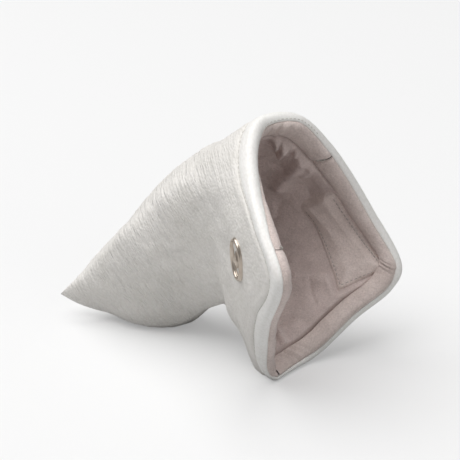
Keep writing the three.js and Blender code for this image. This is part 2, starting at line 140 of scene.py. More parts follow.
def unit(v):
    """v with length 1."""
    return v / np.maximum(np.linalg.norm(v, axis=-1, keepdims=True), 1e-9)


def outward(t, s, step=1e-3):
    """Direction square to the outer face."""
    t = np.clip(t, 0, 1)
    along = outer_face(np.clip(t + step, 0, 1), s) - outer_face(np.clip(t - step, 0, 1), s)
    around = outer_face(t, np.clip(s + step, 0, 1)) - outer_face(t, np.clip(s - step, 0, 1))
    return unit(np.cross(along, around))


def mitre(t, s):
    """Inward direction on a seam, shared by the front and back walls, and longer at a sharp fold."""
    front, rear = outward(t, s), outward(t, 1 - s)
    facing = (front * rear).sum(-1, keepdims=True)
    return -(front + rear) / np.maximum(1 + facing, MITRE_LIMIT)


TOE_SEAM = unit(STATIONS[0][4] - STATIONS[0][0])


def inward(t, s):
    """Direction from the outer face into the wall, blended to a mitre at the lower seam and the toe."""
    side = np.minimum(s, 1 - s)
    direction = -outward(t, s)
    seam = mitre(t, np.full_like(s, 0.002))
    direction = mix(seam, direction, smooth(0, SEAM_BLEND, side)[:, None])
    toe = mitre(np.zeros_like(t), np.clip(side, 0.01, 0.49))
    toe = toe + TOE_SEAM * (TOE_PULL * (1 - 4 * side))[:, None]
    return mix(toe, direction, smooth(0, TOE_BLEND, t)[:, None])


def squeeze(t, s):
    """How thin the wall is pressed: 1 away from the toe and the lower seam."""
    toe = mix(TOE_SQUEEZE, 1, smooth(0, TOE_LENGTH, t))
    return toe * mix(SEAM_SQUEEZE, 1, smooth(0, SEAM_WIDTH, np.minimum(s, 1 - s)))


def wall(t, s, d):
    """Places (t, s, d) of any equal shapes, in millimetres in the part's frame."""
    t, s, d = np.broadcast_arrays(t, s, d)
    shape = t.shape
    t, s, d = t.ravel().astype(float), s.ravel().astype(float), d.ravel()
    outer = outer_face(t, s)
    outer[:, 2] = np.maximum(outer[:, 2], 0)
    p = outer + SHIFT + inward(t, s) * (squeeze(t, s) * d)[:, None]
    p[:, 2] = np.maximum(p[:, 2], 0)
    return p.reshape(*shape, 3)


def from_crest(mm, s):
    """t at a distance from the crest of the mouth."""
    step = 0.01
    s = np.atleast_1d(np.asarray(s, float))
    before = outer_face(np.full_like(s, 1 - step), s)
    length = np.linalg.norm(outer_face(np.ones_like(s), s) - before, axis=-1)
    return 1 - mm * step / length


def back_wall(s):
    """1 along the back of the mouth, 0 along the flap."""
    return smooth(0.49, 0.59, s) * smooth(0.995, 0.965, s)


def facing_edge(s):
    """Distance from the crest to the far edge of the plush facing."""
    return mix(FACING_FRONT, FACING_BACK, back_wall(s))


def wrap(s):
    """How far the leather goes round the edge at s."""
    places, reaches = zip(*WRAP)
    return np.interp(s, places, reaches)


def round_edge(x, lift):
    """(distance from crest, depth) at x along the arc of the edge, then down the inside of the wall."""
    angle = np.clip(x / EDGE_RADIUS, 0, math.pi)
    past = np.maximum(0, x - math.pi * EDGE_RADIUS)
    mm = EDGE_RADIUS - (EDGE_RADIUS + lift) * np.sin(angle) + past
    return mm, EDGE_RADIUS - (EDGE_RADIUS + lift) * np.cos(angle)


# ---------------------------------------------------------------- noise, repeatable
def lattice(cell, seed):
    """A repeatable number from 0 to 1 for each whole-number cell."""
    x, y, z = (cell[..., k].astype(np.uint32) for k in range(3))
    h = x * np.uint32(374761393) + y * np.uint32(668265263) + z * np.uint32(2147483647)
    h = h + np.uint32(seed * 1013904223 % 2**32)
    h = (h ^ (h >> np.uint32(13))) * np.uint32(1274126177)
    return ((h ^ (h >> np.uint32(16))) & np.uint32(0xFFFFFF)).astype(float) / 0xFFFFFF


def noise(p, seed):
    """Smooth noise from -1 to 1 at points p."""
    cell = np.floor(p).astype(np.int64)
    w = p - cell
    w = w * w * (3 - 2 * w)
    out = 0
    for corner in np.ndindex(2, 2, 2):
        corner = np.array(corner)
        weight = np.prod(np.where(corner == 1, w, 1 - w), axis=-1)
        out = out + weight * lattice(cell + corner, seed)
    return out * 2 - 1


def layered(p, seed, layers=3):
    """Noise with finer and weaker noise on it."""
    return sum(noise(p * 2**k, seed + k) * 0.5**k for k in range(layers))


def ridges(p, seed):
    """Thin creases: 1 along a wandering line, falling off to 0."""
    return np.maximum(0, 1 - np.abs(noise(p, seed)) * 3.2) ** 2


# ---------------------------------------------------------------- meshes
def add_mesh(name, points, faces, material, smooth_shaded=True):
    """A smooth piece from points in millimetres and four-sided faces, some with a repeated corner."""
    faces = np.asarray(faces, np.int64)
    repeated = faces == np.roll(faces, 1, axis=1)
    faces = faces[repeated.sum(1) <= 1]
    repeated = repeated[repeated.sum(1) <= 1]
    used, compact = np.unique(faces, return_inverse=True)
    faces = compact.reshape(faces.shape)
    corners = faces[~repeated]
    sizes = (~repeated).sum(1)
    mesh = bpy.data.meshes.new(name)
    mesh.vertices.add(len(used))
    mesh.vertices.foreach_set("co", (np.asarray(points)[used] * MM).astype(np.float32).ravel())
    mesh.loops.add(len(corners))
    mesh.loops.foreach_set("vertex_index", corners.astype(np.int32))
    mesh.polygons.add(len(faces))
    starts = np.concatenate([[0], np.cumsum(sizes)[:-1]])
    mesh.polygons.foreach_set("loop_start", starts.astype(np.int32))
    mesh.update(calc_edges=True)
    mesh.validate()
    mesh.polygons.foreach_set("use_smooth", np.full(len(mesh.polygons), smooth_shaded))
    mesh.materials.append(material)
    piece = bpy.data.objects.new(name, mesh)
    bpy.context.scene.collection.objects.link(piece)
    return piece


def grid_faces(rows, columns, start=0, closed=False, flip=False):
    """Four-sided faces of a grid of points, row by row; `closed` joins the last column to the first."""
    last = columns if closed else columns - 1
    k, j = np.meshgrid(np.arange(rows - 1), np.arange(last), indexing="ij")
    here, below = k * columns, (k + 1) * columns
    n = (j + 1) % columns
    quad = np.stack([here + j, here + n, below + n, below + j], -1).reshape(-1, 4) + start
    return quad[:, ::-1] if flip else quad


def shell_faces(rows, columns):
    """Outer and inner sheets joined at the last row, each sewn to itself at the toe and lower seam."""
    count = rows * columns
    outer = grid_faces(rows, columns, flip=True)
    inner = grid_faces(rows, columns, start=count)
    j = np.arange(columns - 1) + (rows - 1) * columns
    rim = np.stack([j, j + count, j + count + 1, j + 1], -1)
    same = np.arange(2 * count).reshape(2, rows, columns)
    same[:, :, -1] = same[:, :, 0]
    middle = (columns - 1) // 2
    same[:, 0, middle + 1:] = same[:, 0, middle - 1::-1]
    return same.ravel()[np.concatenate([outer, inner, rim])]


def bends(piece):
    """Bakes the placement of the piece into its mesh."""
    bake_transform(piece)


# ---------------------------------------------------------------- materials
def rgb(*srgb):
    """Linear colour from 0 to 255 display values."""
    shares = [c / 255 for c in srgb]
    linear = [c / 12.92 if c <= 0.04045 else ((c + 0.055) / 1.055) ** 2.4 for c in shares]
    return (*linear, 1)


WHITE = (1, 1, 1, 1)
GRAIN_TURN = (0, math.radians(62), 0)  # the leather is stretched down and to the right
GRAIN_STRETCH = 1.3  # length of a pebble over its width
CREASE_STRETCH = 7.0  # length of a fine crease over its width


class Look:
    """A material and its node tree, with short ways to add nodes."""

    def __init__(self, name, roughness, metallic=0.0, sheen=0.0, specular=0.5):
        self.material = bpy.data.materials.new(name)
        self.material.use_nodes = True
        self.tree = self.material.node_tree
        self.shader = self.tree.nodes["Principled BSDF"]
        self.shader.inputs["Roughness"].default_value = roughness
        self.shader.inputs["Metallic"].default_value = metallic
        self.shader.inputs["Sheen Weight"].default_value = sheen
        self.shader.inputs["Specular IOR Level"].default_value = specular
        self.place = self.tree.nodes.new("ShaderNodeTexCoord").outputs["Object"]

    def node(self, kind, **settings):
        made = self.tree.nodes.new(kind)
        for key, value in settings.items():
            if hasattr(made, key):
                setattr(made, key, value)
            else:
                made.inputs[key.replace("_", " ")].default_value = value
        return made

    def link(self, output, target):
        self.tree.links.new(output, target)

    def stretched(self, stretch):
        """Places with features drawn out along the grain of the leather and through its width."""
        mapping = self.node("ShaderNodeMapping", vector_type="TEXTURE")
        mapping.inputs["Rotation"].default_value = GRAIN_TURN
        mapping.inputs["Scale"].default_value = (stretch, 2 * stretch, 1)
        self.link(self.place, mapping.inputs["Vector"])
        return mapping.outputs["Vector"]

    def noise(self, cell, detail=2.0, stretch=1.0):
        """Noise with features about `cell` millimetres across."""
        made = self.node("ShaderNodeTexNoise", Scale=1 / (cell * MM), Detail=detail)
        self.link(self.stretched(stretch) if stretch > 1 else self.place, made.inputs["Vector"])
        return made.outputs["Fac"]

    def cells(self, cell, stretch=1.0):
        """Rounded cells about `cell` millimetres across: 0 at their middles."""
        made = self.node("ShaderNodeTexVoronoi", feature="SMOOTH_F1", Smoothness=0.5,
                         Scale=1 / (cell * MM))
        self.link(self.stretched(stretch) if stretch > 1 else self.place, made.inputs["Vector"])
        return made.outputs["Distance"]

    def toward_toe(self):
        """1 on the toe half of the cover, falling to a quarter at the mouth."""
        parts = self.node("ShaderNodeSeparateXYZ")
        self.link(self.place, parts.inputs[0])
        fade = self.node("ShaderNodeMapRange")
        for socket, value in zip(list(fade.inputs)[1:5], (0.018, -0.03, 0.25, 1.0)):
            socket.default_value = value
        self.link(parts.outputs["X"], fade.inputs[0])
        return fade.outputs[0]

    def ramp(self, value, *stops):
        """Colours between stops of (position, colour)."""
        made = self.node("ShaderNodeValToRGB")
        elements = made.color_ramp.elements
        while len(elements) < len(stops):
            elements.new(0.5)
        for element, (position, colour) in zip(elements, stops):
            element.position = position
            element.color = colour
        self.link(value, made.inputs["Fac"])
        return made.outputs["Color"]

    def math(self, operation, a, b):
        """One sum on two values, each a number or an output."""
        made = self.node("ShaderNodeMath", operation=operation)
        for socket, value in zip(made.inputs, (a, b)):
            if isinstance(value, (int, float)):
                socket.default_value = value
            else:
                self.link(value, socket)
        return made.outputs[0]

    def multiply(self, a, b):
        made = self.node("ShaderNodeMix", data_type="RGBA", blend_type="MULTIPLY")
        made.inputs["Factor"].default_value = 1.0
        self.link(a, made.inputs["A"])
        self.link(b, made.inputs["B"])
        return made.outputs["Result"]

    def colour(self, output):
        self.link(output, self.shader.inputs["Base Color"])

    def bump(self, *layers):
        """Stacks bumps given as (height, strength, height of a full step in millimetres)."""
        normal = None
        for height, strength, depth in layers:
            made = self.node("ShaderNodeBump", Strength=strength, Distance=depth * MM)
            self.link(height, made.inputs["Height"])
            if normal:
                self.link(normal, made.inputs["Normal"])
            normal = made.outputs["Normal"]
        self.link(normal, self.shader.inputs["Normal"])


def leather_look(name, light, dark, cell, depth, roughness):
    """Pebbled leather, with fine creases towards the toe and painted shade in the pits between the
    pebbles.
    """
    look = Look(name, roughness, specular=0.35)
    patches = look.ramp(look.noise(16, 4), (0.35, rgb(*dark)), (0.65, rgb(*light)))
    # painted shade: the colour darkens away from the middles of the cells, in the low ground between
    # the pebbles
    pit_shade = look.ramp(look.cells(cell, GRAIN_STRETCH), (0.3, WHITE), (0.8, (0.93, 0.925, 0.915, 1)))
    look.colour(look.multiply(patches, pit_shade))
    pebble = look.math("SUBTRACT", 1.0, look.cells(cell, GRAIN_STRETCH))
    streaks = look.math("MULTIPLY", look.noise(cell * 1.1, 1, CREASE_STRETCH), look.toward_toe())
    look.bump((streaks, 1.0, depth * 3.2), (pebble, 0.7, depth), (look.noise(0.3, 2), 0.3, 0.04))
    return look


def plush_look(name, light, dark, tuft):
    """Short pile with tufts of one size."""
    look = Look(name, 0.95, sheen=0.25, specular=0.12)
    broad = look.ramp(look.noise(8, 4), (0.3, rgb(*dark)), (0.7, rgb(*light)))
    fine = look.ramp(look.noise(tuft, 3), (0.3, (0.8, 0.79, 0.79, 1)), (0.7, WHITE))
    look.colour(look.multiply(broad, fine))
    look.bump((look.noise(tuft * 1.6, 3), 0.9, 0.5), (look.noise(tuft * 0.5, 2), 0.6, 0.25))
    return look


def metal_look(name):
    look = Look(name, 0.28, metallic=1.0)
    look.colour(look.ramp(look.noise(6, 2), (0.3, rgb(194, 180, 166)), (0.7, rgb(222, 211, 198))))
    look.bump((look.noise(0.6, 3), 0.15, 0.05))
    return look


def thread_look(name, colour):
    look = Look(name, 0.8, sheen=0.2)
    shade = [c * 0.85 for c in colour]
    look.colour(look.ramp(look.noise(1.5, 2), (0.3, rgb(*shade)), (0.7, rgb(*colour))))
    look.bump((look.noise(0.3, 1), 0.7, 0.1))
    return look


leather = leather_look("pebbled_leather", (233, 230, 226), (228, 225, 220), 0.9, 0.3, 0.5)
# a lighter copy of the cover leather: its brighter colour is a painted highlight along the rolled edge,
# while the finer grain and lower roughness are the edge's own smooth finish
highlit_edge_leather = leather_look("highlit_edge_leather", (243, 242, 239), (240, 238, 235), 0.9, 0.03, 0.38)
plush = plush_look("greige_plush", (226, 210, 205), (208, 192, 187), 0.7)
plush_band = plush_look("greige_plush_band", (230, 216, 210), (214, 199, 193), 0.8)
# a lighter copy of the lining plush, which the pockets match in colour: painted light on the magnet
# pockets
lightened_pad_plush = plush_look("greige_plush_pad_lightened", (238, 224, 218), (222, 207, 201), 0.7)
thread = thread_look("white_thread", (226, 223, 216))
plush_thread = thread_look("greige_thread", (190, 177, 171))
metal = metal_look("champagne_metal")
foam_look = plush_look("padding", (226, 220, 206), (210, 203, 188), 1.2)
magnet_look = metal_look("magnet_plating")

# ---------------------------------------------------------------- outer leather
ROWS, COLUMNS = ((280, 641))
s_line = np.linspace(0, 1, COLUMNS)
crest_length = 100 * np.linalg.norm(
    outer_face(np.ones(COLUMNS), s_line) - outer_face(np.full(COLUMNS, 0.99), s_line), axis=-1)
RIM_SAMPLES = 4001
rim_s = np.linspace(0, 1, RIM_SAMPLES)
rim = wall(np.ones(RIM_SAMPLES), rim_s, EDGE_RADIUS)
rim_length = np.concatenate([[0], np.cumsum(np.linalg.norm(np.diff(rim, axis=0), axis=-1))])


def rows_to(mm, count):
    """A grid of t from the toe to a distance from the crest, and the s that goes with it."""
    end = 1 - mm / crest_length
    t = np.linspace(0, 1, count)[:, None] * end[None, :]
    return t, np.broadcast_to(s_line, t.shape)


LEAN = -GRAIN_TURN[1]


def stretch_creases(p):
    """Close, shallow creases drawn out along the grain, strongest towards the toe, in millimetres."""
    along = p[..., 0] * math.cos(LEAN) + p[..., 2] * math.sin(LEAN)
    across = -p[..., 0] * math.sin(LEAN) + p[..., 2] * math.cos(LEAN)
    warp = 3.5 * noise(p / 24, 5)
    q = np.stack([along / 9, (across + warp) / 1.8, p[..., 1] / 30], -1)
    fine = np.stack([along / 6, (across + warp) / 1.1, p[..., 1] / 22], -1)
    pull = mix(0.25, 1, smooth(10, -25, p[..., 0] + 6 * noise(p / 20, 31)))
    return pull * (0.15 * noise(q, 11) + 0.17 * noise(fine, 12))


def crotch_fold(t, s):
    """The fold where the pouch meets the flap: sharp at the lower seam, a soft valley further up."""
    up = smooth(0.05, 0.26, s)
    line = mix(0.553, 0.6, up)
    width = mix(0.033, 0.055, up)
    depth = mix(4.2, 1.2, up) * smooth(0, 0.02, s) * smooth(0.42, 0.26, s)
    return depth * np.exp(-np.abs((t - line) / width) ** mix(1.2, 2, up))


def leather_relief(t, s, points):
    """How far the leather lies below its plain face, in millimetres."""
    side = np.minimum(s, 1 - s)
    mm = (1 - t) * np.interp(s, s_line, crest_length)
    free = smooth(0, 0.1, t) * smooth(0, 0.03, side)
    broad = 0.7 * layered(points / 26, 21) + 0.25 * layered(points / 9, 22)
    relief = free * (broad * smooth(4, 22, mm) + stretch_creases(points) * smooth(6, 14, mm))
    relief += crotch_fold(t, s)
    relief += 0.5 * np.exp(-((mm - STITCH_INSET) / 0.8) ** 2)
    relief -= 0.3 * np.exp(-((mm - STITCH_INSET - 3.2) / 2) ** 2)
    relief += smooth(STITCH_INSET, STITCH_INSET - 1.5, mm) * 0.9
    return relief


t_grid, s_grid = rows_to(LEATHER_END, ROWS)
base = wall(t_grid, s_grid, 0)
relief = leather_relief(t_grid, s_grid, base)
outer = wall(t_grid, s_grid, relief)
under = wall(t_grid, s_grid, LEATHER + 0.1 + np.maximum(relief, 0))
piece = add_mesh("leather_shell", np.concatenate([outer.reshape(-1, 3), under.reshape(-1, 3)]),
                 shell_faces(ROWS, COLUMNS), leather.material)
bends(piece)
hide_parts("outer_leather_pouch", "outer_leather_flap")

# ---------------------------------------------------------------- foam, seldom seen
FOAM_ROWS = 60
t_grid, s_grid = rows_to(FOAM_END, FOAM_ROWS)
fold = crotch_fold(t_grid, s_grid)
foam_top = wall(t_grid, s_grid, FOAM_TOP + 0.9 * fold)
foam_bottom = wall(t_grid, s_grid, np.maximum(FOAM_BOTTOM, FOAM_TOP + 0.9 * fold + 0.15))
piece = add_mesh("padding_layer", np.concatenate([foam_top.reshape(-1, 3), foam_bottom.reshape(-1, 3)]),
                 shell_faces(FOAM_ROWS, COLUMNS), foam_look.material)
bends(piece)
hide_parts("foam_padding_pouch", "foam_padding_flap")


# ---------------------------------------------------------------- patches on the wall
class Patch:
    """A piece of wall around (t, s), with u along its length and v across it, in millimetres."""

    def __init__(self, t, s, direction):
        self.t, self.s = t, s
        t, s = np.array([t], float), np.array([s], float)
        self.middle = outer_face(t, s)[0]
        normal = outward(t, s)[0]
        self.long = unit(direction - normal * np.dot(direction, normal))
        self.wide = np.cross(normal, self.long)

    def flat(self, t, s):
        """u and v of places (t, s)."""
        offset = outer_face(t, s) - self.middle
        return offset @ self.long, offset @ self.wide

    def at(self, u, v, d):
        """Places at (u, v) and a depth, found by Newton's method."""
        u, v, d = (np.asarray(a, float) for a in np.broadcast_arrays(u, v, d))
        shape = u.shape
        u, v, d = u.ravel(), v.ravel(), d.ravel()
        t, s = np.full_like(u, self.t), np.full_like(u, self.s)
        step = 1e-3
        for _ in range(5):
            x, y = self.flat(t, s)
            xt, yt = ((b - a) / step for a, b in zip((x, y), self.flat(t + step, s)))
            xs, ys = ((b - a) / step for a, b in zip((x, y), self.flat(t, s + step)))
            scale = xt * ys - xs * yt
            forward = ((u - x) * ys - (v - y) * xs) / scale
            aside = ((v - y) * xt - (u - x) * yt) / scale
            t, s = t + forward, s + aside
        return wall(t, s, d).reshape(*shape, 3)


PAD_SEAM = 1.5  # row of stitches, from the edge of a magnet pocket
PADS = {
    "back": (Patch(0.874, 0.751, np.array([12.5, -12, -24.5])), (54.0, 25.0), "pouch"),
    "flap": (Patch(0.792, 0.255, np.array([0, -12.0, -30.0])), (46.0, 18.0), "front_flap"),
}


def pad_rise(u, long):
    """0 at the upper end of a magnet pocket, where it runs in under the folds, and 1 further down."""
    return smooth(-long / 2, 7.5 - long / 2, u)


def under_pads(t, s):
    """1 below a magnet pocket, falling to 0 beside it."""
    cover = np.zeros(t.shape)
    for patch, (long, wide), _ in PADS.values():
        u, v = patch.flat(t.ravel(), s.ravel())
        beside = np.maximum(np.abs(u) - long / 2, np.abs(v) - wide / 2).reshape(t.shape)
        near = smooth(3.5, 0, beside) * (np.abs(s - patch.s) < 0.2)
        cover = np.maximum(cover, near * pad_rise(u.reshape(t.shape), long))
    return cover


# ---------------------------------------------------------------- lining
t_grid, s_grid = rows_to(facing_edge(s_line) - 0.8, ROWS)
base = wall(t_grid, s_grid, LINING_BOTTOM)


# Folds in the lining: (t, s) at each end, then height and half width in millimetres.
FOLDS = [
    ((0.99, 0.521), (0.88, 0.572), 4.8, 1.8),
    ((0.976, 0.546), (0.896, 0.58), 4.2, 1.5),
    ((0.96, 0.574), (0.857, 0.598), 5.0, 2.1),
    ((0.95, 0.602), (0.9, 0.612), 2.0, 1.3),
    ((0.944, 0.621), (0.745, 0.7), 4.4, 4.2),
    ((0.928, 0.641), (0.864, 0.657), 2.0, 1.7),
    ((0.8, 0.845), (0.915, 0.843), 3.2, 4.6),
    ((0.841, 0.94), (0.92, 0.96), 2.4, 1.7),
    ((0.86, 0.962), (0.91, 0.974), 1.8, 1.3),
    ((0.9, 0.47), (0.8, 0.46), 2.6, 2.6),
    ((0.92, 0.43), (0.84, 0.4), 2.2, 3.0),
]


def folds_at(points):
    """Summed height of the lining's folds at places on its plain face."""
    height = 0
    for start, end, rise, width in FOLDS:
        x0, x1 = wall(*np.array([start, end]).T, LINING_BOTTOM)
        share = np.clip((points - x0) @ (x1 - x0) / np.dot(x1 - x0, x1 - x0), 0, 1)
        beside = np.linalg.norm(points - x0 - share[..., None] * (x1 - x0), axis=-1)
        height = height + rise * np.exp(-(beside / width) ** 2)
    return height


def lining_relief(t, s, points):
    """Height of the lining above its plain face, in millimetres."""
    side = np.minimum(s, 1 - s)
    free = smooth(0, 0.12, t) * smooth(0, 0.03, side)
    past = (1 - t) * np.interp(s, s_line, crest_length) - facing_edge(s)
    broad = 0.8 * layered(points / 16, 41) + 0.3 * layered(points / 6, 42)
    creases = 0.7 * ridges(points / np.array([16, 22, 10]), 43)
    puff = 2.2 * smooth(0.2, 1.8, past) * smooth(20, 5, past) - 1.0 * smooth(0.9, 0, past)
    pile = 0.14 * noise(points / 0.8, 44)
    loose = (broad - creases) * smooth(0, 9, past) + folds_at(points) * smooth(-0.5, 4, past)
    relief = free * (loose + puff)
    return mix(relief, -0.1, under_pads(t, s)) + pile * free


relief = lining_relief(t_grid, s_grid, base)
top = wall(t_grid, s_grid, LINING_TOP)
face = wall(t_grid, s_grid, LINING_BOTTOM + np.maximum(relief, -0.9))
piece = add_mesh("plush_lining", np.concatenate([top.reshape(-1, 3), face.reshape(-1, 3)]),
                 shell_faces(ROWS, COLUMNS), plush.material)
bends(piece)
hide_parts("lining_pouch", "lining_flap")


# ---------------------------------------------------------------- edge of the mouth
def rim_places(pitch, start=0.0, end=1.0):
    """Evenly spaced values of s along the mouth."""
    low, high = np.interp([start, end], rim_s, rim_length)
    count = max(2, int(round((high - low) / pitch)))
    return np.interp(np.linspace(low, high, count, endpoint=end - start < 1), rim_length, rim_s)


def ring(s, profile, closed):
    """Sweeps a closed profile of (distance from crest, depth), each a number or an array along s."""
    rows = [wall(from_crest(mm, s), s, d * np.ones_like(s)) for mm, d in profile]
    points = np.stack(rows, 0)
    count = len(profile)
    faces = grid_faces(count + 1, len(s), closed=closed, flip=True)
    faces = np.where(faces >= count * len(s), faces - count * len(s), faces)
    points = points.reshape(-1, 3)
    if not closed:
        caps = []
        for column, turn in ((0, 1), (len(s) - 1, -1)):
            loop = np.arange(count) * len(s) + column
            centre = np.full(count, len(points) + len(caps))
            caps.append(points[loop].mean(0))
            fan = np.stack([loop, np.roll(loop, -1), centre, centre], -1)
            faces = np.concatenate([faces, fan[:, ::turn]])
        points = np.concatenate([points, np.array(caps)])
    return points, faces


def edge_wander(s):
    """Slight unevenness of the rolled edge, in millimetres."""
    return 0.16 * noise(wall(np.ones_like(s), s, EDGE_RADIUS) / 16, 51)


s = rim_places(0.7)
along = np.interp(s, rim_s, rim_length)
wander = edge_wander(s)
pucker = 0.07 * np.cos(2 * math.pi * along / 3.1)
reach = wrap(s) + 0.6 * wander
band = [(STITCH_INSET + 0.35, 0.75 + 0 * s), (STITCH_INSET - 0.2, 0.42 + 0.5 * wander)]
band += [(STITCH_INSET - 1.2, 0.02 + wander + pucker), (5.6, -0.22 + wander), (4.4, -0.28 + wander)]
for share in np.linspace(0, 1, 13):
    x = share * (reach - 0.5)
    band.append(round_edge(x, 0.25 - wander * np.cos(x / EDGE_RADIUS)))
band += [round_edge(reach, -0.1), round_edge(reach - 0.1, -0.9)]
for share in np.linspace(1, 0, 8):
    band.append(round_edge(share * (reach - 0.6), -LEATHER))
band += [(STITCH_INSET + 0.35, LEATHER + 0.2)]
points, faces = ring(s, band, True)
piece = add_mesh("rolled_leather_edge", points, faces, highlit_edge_leather.material)
bends(piece)
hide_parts("rim_binding_pouch", "rim_binding_flap")


# ---------------------------------------------------------------- rows of stitches
def stitches(name, places, directions, normals, size, look):
    """One small rounded bar for each stitch; `size` is its length, width and height."""
    rings, sides = 7, 8
    u = np.linspace(0, math.pi, rings)
    v = np.linspace(0, 2 * math.pi, sides, endpoint=False)
    shape = np.array([[-math.cos(a), math.sin(a) ** 0.6 * math.cos(b), math.sin(a) ** 0.6 * math.sin(b)]
                      for a in u for b in v])
    shape = shape * np.array(size) / 2
    frame_axes = np.stack([directions, unit(np.cross(normals, directions)), normals], 1)
    points = places[:, None, :] + shape[None] @ frame_axes
    faces = grid_faces(rings, sides, closed=True)
    every = faces[None] + (np.arange(len(places)) * len(shape))[:, None, None]
    return add_mesh(name, points.reshape(-1, 3), every.reshape(-1, 4), look.material)


def stitch_row(name, pitch, place, size, start=0.012, end=0.988):
    """Stitches along the mouth; `place(s)` gives their distance from the crest and their depth."""
    s = rim_places(pitch, start, end)

    def at(s, deeper=0.0):
        mm, depth = place(s)
        return wall(from_crest(mm, s), s, depth + deeper)

    step = 2e-3
    heading = unit(at(s + step) - at(s - step))
    proud = unit(at(s, -0.5) - at(s, 0.5))
    made = stitches(name, at(s), heading, proud, size, thread)
    bends(made)
    return made


piece = stitch_row("topstitches", 3.1, lambda s: (STITCH_INSET, 0.38), (2.5, 0.6, 0.45))
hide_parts("topstitch_thread_pouch", "topstitch_thread_flap")
stitch_row("inner_edge_stitches", 2.1, lambda s: round_edge(wrap(s) - 1.3, 0.3), (1.3, 0.5, 0.5),
           start=0.42, end=0.6)

# ---------------------------------------------------------------- plush facing inside the mouth
FRONT_JOIN, BACK_JOIN = 0.287, 0.633
FACINGS = [
    ("facing_lower_flap", 0.002, FRONT_JOIN, ["facing_flap_lower"]),
    ("facing_upper_flap", FRONT_JOIN, 0.465, ["facing_flap_upper"]),
    ("facing_over_fold", 0.465, BACK_JOIN, ["facing_top"]),
    ("facing_back_wall", BACK_JOIN, 0.998, ["facing_back"]),
]
# Where the facing is gathered round a corner: place along the mouth, half width, pitch of the ridges.
GATHERS = [(0.765, 0.017, 2.6), (0.962, 0.02, 4.6), (0.02, 0.02, 4.0), (0.53, 0.03, 6.0)]


def gathered(s):
    """Ridges across the facing where it is gathered, in millimetres."""
    along = np.interp(s, rim_s, rim_length)
    return sum(0.75 * np.cos(2 * math.pi * along / pitch) * np.exp(-((s - place) / half) ** 2)
               for place, half, pitch in GATHERS)


JOIN_GAP = 0.0003
for name, start, end, replaced in FACINGS:
    s = rim_places(0.8, start + JOIN_GAP, end - JOIN_GAP)
    here = wall(from_crest(7.5, s), s, 7.5)
    ends = smooth(-0.003, 0.004, np.minimum(s - s[0], s[-1] - s))
    swell = 0.45 * layered(here / 9, 61)
    first = wrap(s) + 0.6 * edge_wander(s) - 0.35
    last = math.pi * EDGE_RADIUS + facing_edge(s) - EDGE_RADIUS + 0.4 * noise(here / 7, 63)
    profile = [round_edge(last, -0.9), round_edge(last, 0.1)]
    for k, angle in enumerate(np.linspace(0, math.pi, 17)[1:-1]):
        share = 0.5 + 0.5 * math.cos(angle)
        rise = math.sin(angle) ** (0.5 if share > 0.5 else 1.1)
        tuft = np.stack([np.interp(s, rim_s, rim_length) / 0.9, np.full_like(s, k * 1.3), 0 * s], -1)
        plump = 0.4 + (1.7 + 0.7 * back_wall(s)) * ends + swell + gathered(s) + 0.12 * noise(tuft, 62)
        profile.append(round_edge(mix(first, last, share), plump * rise - 0.9 * smooth(0.14, 0, share)))
    profile += [round_edge(first, -0.6), round_edge(first, -1.2)]
    profile += [round_edge(mix(first, last, share), -1.0) for share in (0.3, 0.6)]
    points, faces = ring(s, profile, False)
    piece = add_mesh(name, points, faces, plush_band.material)
    bends(piece)
    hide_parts(*replaced)


# ---------------------------------------------------------------- magnet pockets
def pocket(name, patch, size, replaced, seed, body):
    """A pillow with a flat flange round it, sewn down over a flat magnet."""
    nu, nv = 95, 51
    long, wide = size
    u_line, v_line = np.linspace(-0.5, 0.5, nu) * long, np.linspace(-0.5, 0.5, nv) * wide
    u, v = np.meshgrid(u_line, v_line, indexing="ij")
    place = np.stack([u, v, 0 * u], -1)
    edge = np.minimum(long / 2 - np.abs(u), wide / 2 - np.abs(v))
    puff = smooth(PAD_SEAM, PAD_SEAM + 5.5, edge)
    groove = np.exp(-((edge - PAD_SEAM) / 0.6) ** 2)
    fuzz = 0.12 * noise(place / 0.8 + seed, 71)
    swell = 0.2 * layered(place / 7 + seed, 72)
    rounded = 1 - 0.012 * smooth(3, 0, edge)
    waver = 0.5 * noise(place / 9 + seed, 73) * smooth(4, 0, edge)
    height = 1.5 * smooth(0, 1.2, edge) + 1.9 * puff - 0.5 * groove + fuzz + swell * puff
    depth = LINING_BOTTOM + mix(-0.8, height, pad_rise(u, long))
    face = patch.at(u * rounded + waver, v * rounded + waver, depth)
    seat = patch.at(u * rounded + waver, v * rounded + waver, np.full_like(u, LINING_BOTTOM - 0.9))
    count = nu * nv
    loop = np.concatenate([
        np.arange(nv), np.arange(1, nu) * nv + nv - 1,
        (nu - 1) * nv + np.arange(nv - 2, -1, -1), np.arange(nu - 2, 0, -1) * nv,
    ])
    after = np.roll(loop, -1)
    sides = np.stack([loop, loop + count, after + count, after], -1)
    faces = np.concatenate([grid_faces(nu, nv), grid_faces(nu, nv, start=count, flip=True), sides])
    points = np.concatenate([face.reshape(-1, 3), seat.reshape(-1, 3)])
    made = add_mesh(name, points, faces, lightened_pad_plush.material)
    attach(made, body)
    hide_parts(*replaced)


